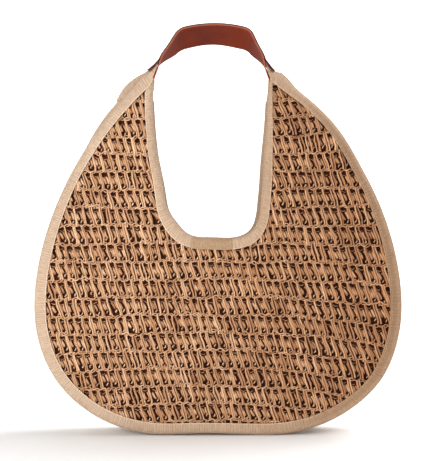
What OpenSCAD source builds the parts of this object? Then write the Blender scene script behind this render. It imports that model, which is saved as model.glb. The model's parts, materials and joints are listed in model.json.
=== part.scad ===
// Crocheted straw hobo bag with a leather handle, in millimetres.
// Origin: middle of the flat base, on the floor. X is the width, Y the depth (front is -Y), Z is up.
// Both panels lie on large spheres, so the bag is fullest in the middle and thin at its rim.

/* [Bag] */
// Width at the widest place
bag_w = 399; // [385:1:410]
// Height of the widest place
widest_z = 139; // [130:1:148]
// Half width of the straight run that the bag stands on
base_half = 52; // [40:1:58]
// Half depth of the bag where it is fullest
crown = 44; // [40:1:48]
// Height of the fullest place
crown_z = 157; // [145:1:170]
// Radius of each panel's curve
crown_r = 1230; // [1150:10:1400]
// Thickness of the crocheted straw
straw_t = 4; // [3:0.1:4.5]
// Thickness of the gusset cloth
gusset_t = 1.2; // [0.8:0.1:1.4]
// Thickness of the lining
lining_t = 1; // [0.6:0.1:1.2]

/* [Mouth] */
// Sideways place of the mouth and the handle
mouth_x = -7.5; // [-9:0.5:0]
// Height of the lowest point of the mouth
mouth_z = 214; // [208:1:222]
// Half width of the mouth just above its round corners
mouth_half = 49; // [45:1:52]

/* [Tape] */
// Width of the folded tape on each face
tape_w = 12; // [10:0.5:13]
// Thickness of the tape
tape_t = 0.8; // [0.5:0.1:0.9]
// How far inside the outer edge the gusset is sewn
seam_in = 9; // [8:0.5:9.5]

/* [Handle] */
// Width of the leather strap
strap_w = 48; // [44:1:48]
// Thickness of each leather layer
leather_t = 1.4; // [1.1:0.1:1.5]
// Thickness of the stiffener between the layers
core_t = 0.6; // [0.4:0.1:0.7]
// Height of the line that the handle swings about
hinge_z = 390; // [388:1:391]
// Height of the top of the strap over that line
strap_rise = 50; // [46:1:54]
// How far the handle leans back at rest, in degrees
handle_lean = 16; // [8:1:20]

/* [Closure and pocket] */
// Diameter of the magnetic snap
snap_d = 18; // [14:1:18]
// Height of the snap
snap_z = 182; // [175:1:186]
// Width of the inner pocket
pocket_w = 150; // [120:5:160]
// Height of the inner pocket
pocket_h = 105; // [90:5:110]

/* [Hidden] */

// Clearance between pieces that lie against each other
gap = 0.2;
// Thickness of the tape where it folds over an edge
fold_t = 1;
// Space between straw and lining, which holds the snap's washers
washer_gap = 1.2;
// Depths below a panel's outer surface
lining_in = straw_t + washer_gap;
lining_out = lining_in + lining_t;
binding_in = lining_out + gap + tape_t;

// Outer edge: the lower and the upper curve of one side, as four control points each.
// Each reach says how far a curve leans on its end's direction.
bag_half = bag_w / 2;
horn_half = 55;
horn_top = 400;
base_reach = 86;
low_reach = 81;
high_reach = 90;
left_reach = [74, -51];
right_reach = [95, -52];
low_curve = [[base_half, 0], [base_half + base_reach, 0], [bag_half, widest_z - low_reach],
    [bag_half, widest_z]];
function high_curve(side) = let (tip = [horn_half + side * mouth_x, horn_top])
    [[bag_half, widest_z], [bag_half, widest_z + high_reach],
        tip + (side > 0 ? right_reach : left_reach), tip];

// Mouth: its flat bottom, its round corner and its flaring side
mouth_flat = 10;
flat_reach = 24;
corner_top = mouth_z + 36;
corner_reach = 22;
flare = 0.13;
flare_reach = 48;
flare_top = 383;
mouth_top_half = mouth_half + 12.4;
corner_curve = [[mouth_flat, mouth_z], [mouth_flat + flat_reach, mouth_z],
    [mouth_half, corner_top] - corner_reach * [flare, 1], [mouth_half, corner_top]];
flare_curve = [[mouth_half, corner_top], [mouth_half, corner_top] + flare_reach * [flare, 1],
    [mouth_top_half, flare_top - flare_reach], [mouth_top_half, flare_top]];
above_all = 470;
curve_steps = 14;
corner_steps = 10;

// Handle: a shallow top arc, two round shoulders and two straight legs
top_r = 120;
top_angle = 15.5;
shoulder_r = 18;
leg_angle = 63;
inner_leg = 49;
core_leg = 27;
tab_from = 29;
tab_angle = 43;
tab_length = 15;
// Radius of the round end of each horn, about the line that the handle swings on
knuckle_r = 25;
knuckle_gap = 0.5;
tip_half_depth = 20;
// Steps of the upper curve that bound the horn's end
tip_steps = [10:13];

// Stitches of the handle
stitch_len = 3.6;
stitch_pitch = 5;
stitch_r = 0.35;
stitch_edge = 3.5;

// Snap
snap_t = 2.4;
prong_w = 3.2;
prong_t = 0.8;
prong_x = 5;
stud_d = 6;
stud_h = 3;
socket_d = 12;
socket_h = 1.4;
socket_wall = 1.5;

// Pocket
pocket_z = 58;
pocket_r = 14;
hem_h = 9;
hem_t = 0.5;

function bezier(p, t) = pow(1 - t, 3) * p[0] + 3 * pow(1 - t, 2) * t * p[1]
    + 3 * (1 - t) * t * t * p[2] + pow(t, 3) * p[3];
function heading(p, t) = let (v = pow(1 - t, 2) * (p[1] - p[0]) + 2 * (1 - t) * t * (p[2] - p[1])
    + t * t * (p[3] - p[2])) v / norm(v);
// A point on the curve, moved to the left of its heading by d
function beside(p, t, d) = let (h = heading(p, t)) bezier(p, t) + d * [-h[1], h[0]];
function along(p, first, steps, d) = [for (i = [first:steps]) beside(p, i / steps, d)];
function reversed(p) = [for (i = [len(p) - 1:-1:0]) p[i]];
function mirrored(p) = [for (q = reversed(p)) [-q[0], q[1]]];
function side_line(side, d) = concat(along(low_curve, 0, curve_steps, d),
    along(high_curve(side), 1, curve_steps, d));
function mouth_line(d) = concat(along(corner_curve, 0, corner_steps, -d),
    along(flare_curve, 1, corner_steps, -d), [[mouth_top_half + d, above_all]]);

// The bag's outline, moved in by d
module bag_shape(d) {
    polygon(concat(side_line(1, d), mirrored(side_line(-1, d))));
}

// The mouth, grown by d
module mouth_shape(d) {
    translate([mouth_x, 0]) polygon(concat(mouth_line(d), mirrored(mouth_line(d))));
}

// A flat shape in X and Z, given a depth from y0 to y1
module slab(y0, y1) {
    translate([0, y1, 0]) rotate([90, 0, 0]) linear_extrude(y1 - y0) children();
}

// Everything deeper than d below the front panel's outer surface
module behind_front(d) {
    translate([0, crown_r - crown, crown_z]) sphere(crown_r - d, $fn = 240);
}

// A flat shape laid on the front panel, between two depths below its outer surface
module front_layer(d0, d1) {
    difference() {
        intersection() {
            slab(-crown - tape_w, 0) children();
            behind_front(d0);
        }
        behind_front(d1);
    }
}

// Cuts away what belongs to the swinging ends of the horns
module below_knuckle() {
    difference() {
        children();
        knuckle(knuckle_r + knuckle_gap);
        translate([-bag_w, -bag_w, hinge_z]) cube([2 * bag_w, 2 * bag_w, above_all]);
    }
}

module knuckle(r) {
    translate([-bag_w, 0, hinge_z]) rotate([0, 90, 0]) cylinder(r = r, h = 2 * bag_w, $fn = 96);
}

// Front face at rest at [x, z], d below the panel's outer surface
function front_y(x, z, d) = crown_r - crown
    - sqrt(pow(crown_r - d, 2) - x * x - pow(z - crown_z, 2));

module panel() {
    below_knuckle() front_layer(0, straw_t) difference() {
        bag_shape(fold_t + gap);
        mouth_shape(fold_t + gap);
    }
}

// Folded tape: two faces and the fold over the edge, with the panel's rim inside it
module edge_binding() {
    below_knuckle() difference() {
        front_layer(-tape_t, binding_in) difference() {
            bag_shape(0);
            bag_shape(tape_w);
            mouth_shape(0);
        }
        front_layer(-gap, lining_out + gap) bag_shape(fold_t);
    }
}

module mouth_binding() {
    below_knuckle() difference() {
        front_layer(-tape_t, binding_in) difference() {
            intersection() {
                mouth_shape(tape_w);
                bag_shape(tape_w + gap);
            }
            mouth_shape(0);
        }
        front_layer(-gap, lining_out + gap) difference() {
            bag_shape(0);
            mouth_shape(fold_t);
        }
    }
}

module lining(slots) {
    below_knuckle() difference() {
        front_layer(lining_in, lining_out) difference() {
            bag_shape(tape_w + gap);
            mouth_shape(fold_t + gap);
        }
        if (slots) prongs(prong_t + 2 * gap, prong_w + 2 * gap, -crown, 0);
    }
}

// A band between the two panels, at d inside the outline and t thick
module band(d, t) {
    below_knuckle() intersection() {
        slab(-crown, crown) difference() {
            bag_shape(d);
            bag_shape(d + t);
            mouth_shape(tape_w + gap);
        }
        behind_front(binding_in + gap);
        mirror([0, 1, 0]) behind_front(binding_in + gap);
    }
}

module prongs(w, h, y0, y1) {
    for (side = [-1, 1])
        translate([mouth_x + side * prong_x - w / 2, y0, snap_z - h / 2]) cube([w, y1 - y0, h]);
}

// Shank and disc of one half of the snap, with two prongs that go through the lining
module snap_half(post_d, post_h, hollow) {
    y = front_y(mouth_x, snap_z, lining_out) + 2 * gap;
    translate([mouth_x, y, snap_z]) rotate([-90, 0, 0]) difference() {
        union() {
            cylinder(d = snap_d, h = snap_t, $fn = 64);
            translate([0, 0, snap_t - gap]) cylinder(d = post_d, h = post_h + gap, $fn = 48);
        }
        if (hollow) translate([0, 0, snap_t])
            cylinder(d = post_d - 2 * socket_wall, h = post_h + 1, $fn = 48);
    }
    prongs(prong_t, prong_w, front_y(mouth_x, snap_z, straw_t) + gap, y + gap);
}

module washer() {
    difference() {
        front_layer(straw_t + gap, lining_in - gap) translate([mouth_x, snap_z])
            circle(d = snap_d, $fn = 64);
        prongs(prong_t + 2 * gap, prong_w + 2 * gap, -crown, 0);
    }
}

// Rounded lower corners and a straight top
module pocket_shape() {
    union() {
        translate([-pocket_w / 2, pocket_z + pocket_r]) square([pocket_w, pocket_h - pocket_r]);
        translate([-pocket_w / 2 + pocket_r, pocket_z])
            square([pocket_w - 2 * pocket_r, pocket_h]);
        for (side = [-1, 1])
            translate([side * (pocket_w / 2 - pocket_r), pocket_z + pocket_r])
                circle(r = pocket_r, $fn = 48);
    }
}

// The right half of the strap's line in X and Z over the hinge line, d below its upper face
function arch_line(d, leg) = let (
    top = [0, strap_rise - top_r],
    shoulder = top + (top_r - shoulder_r) * [sin(top_angle), cos(top_angle)],
    corner = shoulder + (shoulder_r - d) * [sin(leg_angle), cos(leg_angle)])
    concat(
        [for (i = [0:5]) let (a = top_angle * i / 6) top + (top_r - d) * [sin(a), cos(a)]],
        [for (i = [0:10]) let (a = top_angle + (leg_angle - top_angle) * i / 10)
            shoulder + (shoulder_r - d) * [sin(a), cos(a)]],
        [corner + leg * [cos(leg_angle), -sin(leg_angle)]]);
// The same line with its tab turned out along the horn
function tab_line(d) = let (line = arch_line(d, tab_from + d * tan((leg_angle - tab_angle) / 2)))
    concat(line, [line[len(line) - 1] + tab_length * [cos(tab_angle), -sin(tab_angle)]]);
// Closed outline of a layer between two lines that start at the middle of the strap
function layer_outline(upper, lower) = concat(mirrored(upper), [for (i = [1:len(upper) - 1])
    upper[i]], reversed(lower), [for (i = [1:len(lower) - 1]) [-lower[i][0], lower[i][1]]]);

inner_top = leather_t + core_t + 2 * gap;
strap_t = inner_top + leather_t;

// Puts what is drawn about the hinge line in its place, leaning back
module on_hinge() {
    translate([mouth_x, 0, hinge_z]) rotate([-handle_lean, 0, 0]) children();
}

module strap_layer(upper, lower) {
    on_hinge() slab(-strap_w / 2, strap_w / 2) polygon(layer_outline(upper, lower));
}

// Rows of stitches on a face of the strap, side by side with both edges
module stitch_rows(d) {
    top = [0, strap_rise - top_r];
    shoulder = top + (top_r - shoulder_r) * [sin(top_angle), cos(top_angle)];
    top_step = stitch_pitch / top_r * 180 / PI;
    shoulder_step = stitch_pitch / shoulder_r * 180 / PI;
    leg_start = shoulder + (shoulder_r - d) * [sin(leg_angle), cos(leg_angle)];
    for (y = [stitch_edge - strap_w / 2, strap_w / 2 - stitch_edge]) {
        for (a = [-2.5 * top_step:top_step:2.6 * top_step])
            stitch(top + (top_r - d) * [sin(a), cos(a)], a, y);
        for (side = [-1, 1]) {
            for (a = [top_angle + shoulder_step:shoulder_step:leg_angle])
                stitch([side * (shoulder + (shoulder_r - d) * [sin(a), cos(a)])[0],
                    (shoulder + (shoulder_r - d) * [sin(a), cos(a)])[1]], side * a, y);
            for (s = [stitch_pitch:stitch_pitch:tab_from - stitch_len])
                let (p = leg_start + s * [cos(leg_angle), -sin(leg_angle)])
                    stitch([side * p[0], p[1]], side * leg_angle, y);
        }
    }
}

module stitch(p, a, y) {
    translate([p[0], y, p[1]]) rotate([0, 90 + a, 0])
        cylinder(r = stitch_r, h = stitch_len, center = true, $fn = 16);
}

// The gathered end of one horn, with a wedge that is held between the two leather layers
module horn_tip(side) {
    inner = arch_line(inner_top - gap, inner_leg);
    tab = tab_line(leather_t + gap);
    low = inner[len(inner) - 1];
    edge = [for (i = tip_steps) beside(high_curve(side), i / curve_steps, fold_t)
        - [side * mouth_x, hinge_z]];
    shape = concat([low, [low[0], edge[0][1]]], edge, [tab[len(tab) - 1], tab[len(tab) - 2]]);
    color("wheat") on_hinge() intersection() {
        slab(-tip_half_depth, tip_half_depth) polygon([for (p = shape) [side * p[0], p[1]]]);
        rotate([0, 90, 0]) cylinder(r = knuckle_r, h = 2 * bag_w, center = true, $fn = 96);
    }
}

module front_panel() {
    color("burlywood") panel();
}

module back_panel() {
    color("burlywood") mirror([0, 1, 0]) panel();
}

module gusset() {
    color("tan") band(seam_in, gusset_t);
}

module front_edge_binding() {
    color("wheat") edge_binding();
}

module back_edge_binding() {
    color("wheat") mirror([0, 1, 0]) edge_binding();
}

module front_mouth_binding() {
    color("wheat") mouth_binding();
}

module back_mouth_binding() {
    color("wheat") mirror([0, 1, 0]) mouth_binding();
}

module front_lining() {
    color("saddlebrown") lining(true);
}

module back_lining() {
    color("saddlebrown") mirror([0, 1, 0]) lining(true);
}

module gusset_lining() {
    color("saddlebrown") band(seam_in + gusset_t + gap, lining_t);
}

module slip_pocket() {
    color("saddlebrown") mirror([0, 1, 0])
        front_layer(lining_out + gap, lining_out + gap + lining_t) pocket_shape();
}

module pocket_hem() {
    color("tan") mirror([0, 1, 0])
        front_layer(lining_out + 2 * gap + lining_t, lining_out + 2 * gap + lining_t + hem_t)
            translate([-pocket_w / 2, pocket_z + pocket_h - hem_h]) square([pocket_w, hem_h]);
}

module snap_stud() {
    color("gold") snap_half(stud_d, stud_h, false);
}

module snap_socket() {
    color("gold") mirror([0, 1, 0]) snap_half(socket_d, socket_h, true);
}

module stud_washer() {
    color("silver") washer();
}

module socket_washer() {
    color("silver") mirror([0, 1, 0]) washer();
}

module handle_outer() {
    color("sienna") strap_layer(tab_line(0), tab_line(leather_t));
}

module handle_inner() {
    color("brown") strap_layer(arch_line(inner_top, inner_leg), arch_line(strap_t, inner_leg));
}

module handle_core() {
    color("dimgray") strap_layer(arch_line(leather_t + gap, core_leg),
        arch_line(leather_t + gap + core_t, core_leg));
}

module handle_thread() {
    color("maroon") on_hinge() {
        stitch_rows(-stitch_r - gap);
        stitch_rows(strap_t + stitch_r + gap);
    }
}

module left_horn_tip() {
    horn_tip(-1);
}

module right_horn_tip() {
    horn_tip(1);
}

front_panel();
back_panel();
gusset();
front_edge_binding();
back_edge_binding();
front_mouth_binding();
back_mouth_binding();
front_lining();
back_lining();
gusset_lining();
slip_pocket();
pocket_hem();
snap_stud();
snap_socket();
stud_washer();
socket_washer();
handle_outer();
handle_inner();
handle_core();
handle_thread();
left_horn_tip();
right_horn_tip();
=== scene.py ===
"""Looks of the crocheted straw hobo bag: crochet, folded tape, gusset, lining and leather handle.

Shapes are worked out in millimetres in the CAD frame and turned into metres when a mesh is made.
X is the width, Y the depth (the front is -Y) and Z is up.
"""

import json
import math

import bpy
import numpy as np
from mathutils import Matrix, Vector


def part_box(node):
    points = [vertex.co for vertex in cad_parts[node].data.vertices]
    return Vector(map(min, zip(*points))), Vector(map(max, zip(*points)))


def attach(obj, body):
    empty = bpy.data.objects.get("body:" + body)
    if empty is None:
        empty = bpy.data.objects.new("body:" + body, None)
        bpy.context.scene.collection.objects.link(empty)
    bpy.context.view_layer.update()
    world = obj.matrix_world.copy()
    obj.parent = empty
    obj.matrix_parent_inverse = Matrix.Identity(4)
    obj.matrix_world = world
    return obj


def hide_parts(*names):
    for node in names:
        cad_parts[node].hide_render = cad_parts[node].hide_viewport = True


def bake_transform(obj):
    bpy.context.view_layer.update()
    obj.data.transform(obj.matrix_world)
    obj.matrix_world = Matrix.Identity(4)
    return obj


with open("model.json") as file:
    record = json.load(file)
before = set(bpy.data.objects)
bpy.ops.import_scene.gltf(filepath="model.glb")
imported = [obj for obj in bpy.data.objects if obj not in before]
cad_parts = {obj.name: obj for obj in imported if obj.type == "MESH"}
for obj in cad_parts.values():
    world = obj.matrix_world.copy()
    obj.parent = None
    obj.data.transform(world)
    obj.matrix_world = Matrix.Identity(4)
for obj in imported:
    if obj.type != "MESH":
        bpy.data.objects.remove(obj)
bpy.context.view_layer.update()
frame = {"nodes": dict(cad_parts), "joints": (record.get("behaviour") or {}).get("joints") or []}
MM = 0.001

# ---------------------------------------------------------------- sizes, in millimetres

# Taken from the frame
joint = frame["joints"][0]
MOUTH_X, _, HINGE_Z = [v / MM for v in joint["pos_m"]]
BAG_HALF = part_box("front_edge_binding")[1].x / MM
STRAP_W = 48

# Outline of the bag, as in the CAD: each curve is four control points in X and Z
WIDEST_Z = 139
BASE_HALF = 52
HORN_HALF = 55
HORN_TOP = 400
LOW_CURVE = [(BASE_HALF, 0), (BASE_HALF + 86, 0), (BAG_HALF, WIDEST_Z - 81), (BAG_HALF, WIDEST_Z)]
HORN_REACH = {-1: (74, -51), 1: (95, -52)}

# Mouth, about its own middle
MOUTH_Z = 214
MOUTH_HALF = 49
MOUTH_TOP_HALF = 61.4
CORNER_CURVE = [(10, MOUTH_Z), (34, MOUTH_Z), (46.14, MOUTH_Z + 14), (MOUTH_HALF, MOUTH_Z + 36)]
FLARE_CURVE = [(MOUTH_HALF, 250), (55.24, 298), (MOUTH_TOP_HALF, 335), (MOUTH_TOP_HALF, 383)]

# The sphere that each panel lies on, and the layers below its outer surface
CROWN = 44
CROWN_Z = 157
CROWN_R = 1230
LINING_IN = 5.2
LINING_OUT = 6.2
RIB = 2.6
GUSSET_IN = 9

# Handle, about the hinge line and upright
LEAN = 17.5
STRAP_RISE = 50
STRAP_FALL = 0.5
TOP_R = 120
TOP_ANGLE = 15.5
SHOULDER_R = 18
LEG_ANGLE = 63
INNER_LEG = 49
CORE_LEG = 27
TAB_FROM = 29
TAB_ANGLE = 40.3
TAB_LENGTH = 16.5

# Faces of each layer of the strap and what lies between them, as depths below the strap's upper face
UPPER_LEATHER = (0.1, 1.15)
STIFFENER = (1.3, 1.75)
LOWER_LEATHER = (1.9, 2.9)
UNDER_TAB = 1.4
WEDGE = 1.5

# How the strap departs from the CAD's: it stands higher, leans sideways, and its far ends toe out
STRAP_LIFT = 6.4
SIDE_LEAN = 0.085
TOE_OUT = 3.2
TIP_FORWARD = 5

# Closure and pocket
SNAP_Z = 182
POCKET_W = 150
POCKET_H = 105
POCKET_Z = 58
POCKET_CORNER = 14
POCKET_HEM = 9

# Crochet: a row starts at ROW_Z, and the panel has COLUMNS stitches either side of its middle
ROW_Z = 226
STITCH_W = 8.75
ROW_H = 19.0
COLUMNS = 23
ROW_BANDS = [range(-12, -6), range(-6, -2), range(-2, 2), range(2, 11)]
STRAND_SIDES = 8
STRAND_RINGS = 9

# Above this the tapes of the edge and of the mouth can meet
HORN_Z = 300


# ---------------------------------------------------------------- small helpers

def smooth(t):
    """0 before 0, 1 after 1, and an even turn between them."""
    t = np.clip(t, 0, 1)
    return t * t * (3 - 2 * t)


def bump(t):
    """1 at 0, falling to 0 at -1 and 1."""
    return smooth(1 - np.abs(t))


def wander(t, seed, waves=4):
    """A smooth, repeatable wobble between about -1 and 1."""
    rng = np.random.default_rng(seed)
    total = np.zeros_like(np.asarray(t, float))
    for i in range(waves):
        total += np.sin(np.asarray(t, float) * (0.7 + 0.9 * i) + rng.uniform(0, 2 * math.pi)) / (1 + i)
    return total / 2


def bezier(points, steps):
    p = np.array(points, float)
    t = np.linspace(0, 1, steps)[:, None]
    return (1 - t) ** 3 * p[0] + 3 * (1 - t) ** 2 * t * p[1] + 3 * (1 - t) * t * t * p[2] + t ** 3 * p[3]


def distances(line):
    """The distance along a line at each of its points."""
    return np.concatenate([[0], np.cumsum(np.linalg.norm(np.diff(line, axis=0), axis=1))])


def resample(line, step):
    """The same line with even spacing close to step, and the distance along it."""
    lengths = distances(line)
    count = max(2, int(round(lengths[-1] / step)) + 1)
    s = np.linspace(0, lengths[-1], count)
    return np.stack([np.interp(s, lengths, line[:, i]) for i in range(line.shape[1])], 1), s


def at(where, distance, line):
    """Both coordinates of a line at some distances along it."""
    return [np.interp(where, distance, line[:, i]) for i in range(2)]


def normals(line):
    """Unit vectors across a line, a quarter turn to the left of its direction."""
    d = np.gradient(line, axis=0)
    d /= np.linalg.norm(d, axis=1)[:, None]
    return np.column_stack([-d[:, 1], d[:, 0]])


def blob(x, z, place, radius):
    """1 at a place on a panel, fading evenly round it."""
    return np.exp(-((x - place[0]) ** 2 + (z - place[1]) ** 2) / (2 * radius ** 2))


def backness(y):
    """0 at the front panel's side, 1 at the back one's."""
    return np.clip((y + 22) / 44, 0, 1)


# ---------------------------------------------------------------- shape of the bag

def high_curve(side):
    tip = np.array([HORN_HALF + side * MOUTH_X, HORN_TOP])
    return [(BAG_HALF, WIDEST_Z), (BAG_HALF, WIDEST_Z + 90), tip + HORN_REACH[side], tip]


def arch_line(depth, leg):
    """Right half of the strap's line, depth below its upper face."""
    top = np.array([0, STRAP_RISE - TOP_R])
    a0, a1 = math.radians(TOP_ANGLE), math.radians(LEG_ANGLE)
    shoulder = top + (TOP_R - SHOULDER_R) * np.array([math.sin(a0), math.cos(a0)])
    arc = np.linspace(0, a0, 20)[:, None]
    bend = np.linspace(a0, a1, 30)[1:, None]
    run = np.linspace(0, leg, 24)[1:, None]
    corner = shoulder + (SHOULDER_R - depth) * np.array([math.sin(a1), math.cos(a1)])
    return np.vstack([
        top + (TOP_R - depth) * np.hstack([np.sin(arc), np.cos(arc)]),
        shoulder + (SHOULDER_R - depth) * np.hstack([np.sin(bend), np.cos(bend)]),
        corner + run * np.array([math.cos(a1), -math.sin(a1)]),
    ])


def tab_line(depth):
    """The outer layer's line, with its tab turned out along the horn."""
    turn = math.radians(LEG_ANGLE - TAB_ANGLE) / 2
    line = arch_line(depth, TAB_FROM + depth * math.tan(turn))
    a = math.radians(TAB_ANGLE)
    run = np.linspace(0, TAB_LENGTH, 12)[1:, None]
    return np.vstack([line, line[-1] + run * np.array([math.cos(a), -math.sin(a)])])


def tucked(line, side):
    """Presses the top of the outline under the tab of the strap."""
    tab = tab_line(UNDER_TAB)
    end_x, end_z = tab[-1]
    across = line[:, 0] - side * MOUTH_X
    under = np.interp(across, tab[:, 0], tab[:, 1]) + HINGE_Z
    at_end = np.interp(end_x, across[::-1], line[::-1, 1])
    drop = np.where(across <= end_x, line[:, 1] - under,
                    (at_end - end_z - HINGE_Z) * (1 - smooth((across - end_x) / 10)))
    low = line[:, 1] < HINGE_Z - 45
    return np.column_stack([line[:, 0], line[:, 1] - np.where(low, 0, np.maximum(drop, 0))])


def outer_half(side):
    """One side of the outline from the middle of the base to the horn's tip, X taken as positive."""
    return np.vstack([[(0, 0)], bezier(LOW_CURVE, 160), tucked(bezier(high_curve(side), 200), side)[1:]])


def mouth_half():
    """One side of the mouth from its middle to the wedge between the leather layers."""
    wedge = arch_line(WEDGE, INNER_LEG)
    leg_end = wedge[-1] + (0, HINGE_Z)
    leg_top = wedge[-24] + (0, HINGE_Z)
    rise = np.linspace(0, 1, 12)[1:, None]
    return np.vstack([[(0, MOUTH_Z)], bezier(CORNER_CURVE, 60), bezier(FLARE_CURVE, 80)[1:-1],
                      leg_end + rise * 0.4 * (leg_top - leg_end)])


def whole(left, right):
    """Joins two half lines into one from the left top, round the bottom, to the right top."""
    return np.vstack([left[:0:-1] * (-1, 1), right])


OUTER = whole(outer_half(-1), outer_half(1))
MOUTH = whole(mouth_half(), mouth_half()) + (MOUTH_X, 0)


def edge_x(z, side, inset=0):
    """X of the outline at height z, on one side, moved in by inset."""
    line = outer_half(side)
    moved = line + inset * normals(line)
    order = np.maximum.accumulate(moved[:, 1])
    return side * np.interp(z, order, moved[:, 0])


def mouth_edge_x(z, side, inset=0):
    """X of the mouth at height z, on one side, grown by inset. Below its bottom this is its middle."""
    line = mouth_half()
    moved = line - inset * normals(line)
    half = np.interp(z, np.maximum.accumulate(moved[:, 1]), moved[:, 0])
    half = np.where(z <= MOUTH_Z - inset, 0, np.maximum(half, 0))
    return MOUTH_X + side * half


def half_depth(x, z, height=0.0):
    """Distance from the middle plane to a panel, height above its outer surface."""
    return np.sqrt((CROWN_R + height) ** 2 - x ** 2 - (z - CROWN_Z) ** 2) - (CROWN_R - CROWN)


def on_panel(x, z, height, side):
    """Points of a panel. Side -1 is the front and 1 the back."""
    return np.stack([x, side * half_depth(x, z, height), z], -1)


def flex(points):
    """Bends what stands at the hinge line. Points are about the hinge line and upright. The handle stands
    a little proud of the horns, leans to the right as it rises, and tips back more and more above them."""
    p = np.array(points, float)
    x, y, z = p[..., 0], p[..., 1], p[..., 2]
    up = np.maximum(z, 0)
    far = backness(y)
    near = 1 - far
    lean = (math.radians(LEAN + TIP_FORWARD) * smooth((z + 10) / 60)
            - math.radians(TIP_FORWARD) * smooth((z + 26) / 18))
    end = smooth((z + 40) / 34) * (1 - smooth((z + 4) / 40)) * far
    outwards = 0.6 * smooth((z + 4) / 16) + TOE_OUT * end + 1.9 * near * bump((z - 13) / 15)
    x = x + SIDE_LEAN * up + np.sign(x) * outwards
    sag = far * bump((np.abs(x) - 36) / 34) * smooth(z / 40)
    z = z + STRAP_LIFT * smooth((z + 24) / 26) - 0.018 * up + 5 * end - 2.0 * sag
    c, s = np.cos(lean), np.sin(lean)
    return np.stack([x + MOUTH_X, y * c + z * s, HINGE_Z - y * s + z * c], -1)


def settle(points):
    """Turns the even CAD shape into a soft bag: the cloth sags and dents, the back panel slips outwards
    at the upper left, and the horns bend with the handle."""
    p = np.array(points, float)
    x, y, z = p[..., 0], p[..., 1], p[..., 2]
    back = smooth(backness(y))
    # the back panel's slip at the upper left
    slip = 8.5 * smooth((z - 240) / 110) * smooth((-x - 76) / 26) * back
    # soft dents and the sag of the belly, kept away from the snap
    calm = 1 - blob(x, z, (MOUTH_X, SNAP_Z), 22)
    belly = bump((z - 62) / 70) * bump(x / 175)
    dent = 1.3 * np.sin(x / 41 + z / 67 + 0.8) * np.sin(z / 52 - x / 93 + 2.1) + 0.7 * np.sin(x / 19 - z / 31)
    dent += 1.6 * np.sin(x / 55 + 3 * back) * smooth((z - 200) / 120)
    dent *= smooth(z / 40) * (1 - smooth((z - 370) / 20))
    # the mouth's right corner is fuller and its left one flatter
    corner = blob(x, z, (30, 222), 17)
    cut = blob(x, z, (-47, 227), 12)
    # the right of the bag is fuller low down, high up and beside the mouth
    right = 2.2 * bump((x - 160) / 70) * bump((z - 62) / 55)
    right += 3.2 * bump((z - 338) / 58) * smooth((x - 55) / 30)
    right += 2.6 * blob(x, z, (45, 262), 20)
    # the mouth's left side spreads
    spread = 2.6 * smooth((z - 262) / 50) * (1 - smooth((z - 362) / 20))
    spread *= np.exp(-((x - MOUTH_X + 58) / 13) ** 2)
    p[..., 0] += 5.5 * corner + 3.2 * cut + right - 0.72 * slip - spread
    p[..., 1] += np.tanh(y / 14) * calm * (1.6 * belly + dent)
    # the base is a little wavy
    wave = smooth((24 - z) / 24) * (1.1 + 1.1 * np.sin((x + 60) / 26)) * bump(x / 130)
    p[..., 2] += -2.5 * corner + 2.6 * cut + 0.62 * slip + wave
    return np.where((z > HINGE_Z - 25)[..., None], flex(p - (MOUTH_X, 0, HINGE_Z)), p)


# ---------------------------------------------------------------- meshes

def make_mesh(name, points, quads, materials, uv=None, tone_and_shade=None, slots=None, shade=True):
    """A mesh of quads. points are in millimetres, uv is per point, tint is a number per point."""
    points = np.asarray(points, float).reshape(-1, 3) * MM
    quads = np.asarray(quads, np.int32).reshape(-1, 4)
    used, flat = np.unique(quads, return_inverse=True)
    points, quads = points[used], flat.reshape(-1, 4).astype(np.int32)
    mesh = bpy.data.meshes.new(name)
    mesh.vertices.add(len(points))
    mesh.vertices.foreach_set("co", points.astype(np.float32).ravel())
    mesh.loops.add(quads.size)
    mesh.loops.foreach_set("vertex_index", quads.ravel())
    mesh.polygons.add(len(quads))
    mesh.polygons.foreach_set("loop_start", np.arange(0, quads.size, 4, dtype=np.int32))
    mesh.polygons.foreach_set("use_smooth", np.full(len(quads), shade))
    for m in materials:
        mesh.materials.append(m)
    if slots is not None:
        mesh.polygons.foreach_set("material_index", np.asarray(slots, np.int32))
    if uv is not None:
        layer = mesh.uv_layers.new(name="UVMap")
        values = np.asarray(uv, np.float32).reshape(-1, 2)[used][quads.ravel()]
        layer.data.foreach_set("uv", values.ravel())
    # the per-point number: the straw's tone, and on the tape its painted shade
    if tone_and_shade is not None:
        layer = mesh.attributes.new("tone_and_shade", "FLOAT", "POINT")
        layer.data.foreach_set("value", np.asarray(tone_and_shade, np.float32).ravel()[used])
    mesh.update(calc_edges=True)
    mesh.validate()
    obj = bpy.data.objects.new(name, mesh)
    bpy.context.scene.collection.objects.link(obj)
    return obj


def grid_quads(rows, columns, closed=False):
    """Quads of a grid of points, closed round its columns if asked."""
    r, c = np.meshgrid(np.arange(rows - 1), np.arange(columns if closed else columns - 1), indexing="ij")
    n = (c + 1) % columns
    this, after = r * columns, (r + 1) * columns
    return np.stack([this + c, this + n, after + n, after + c], -1).reshape(-1, 4)


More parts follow.
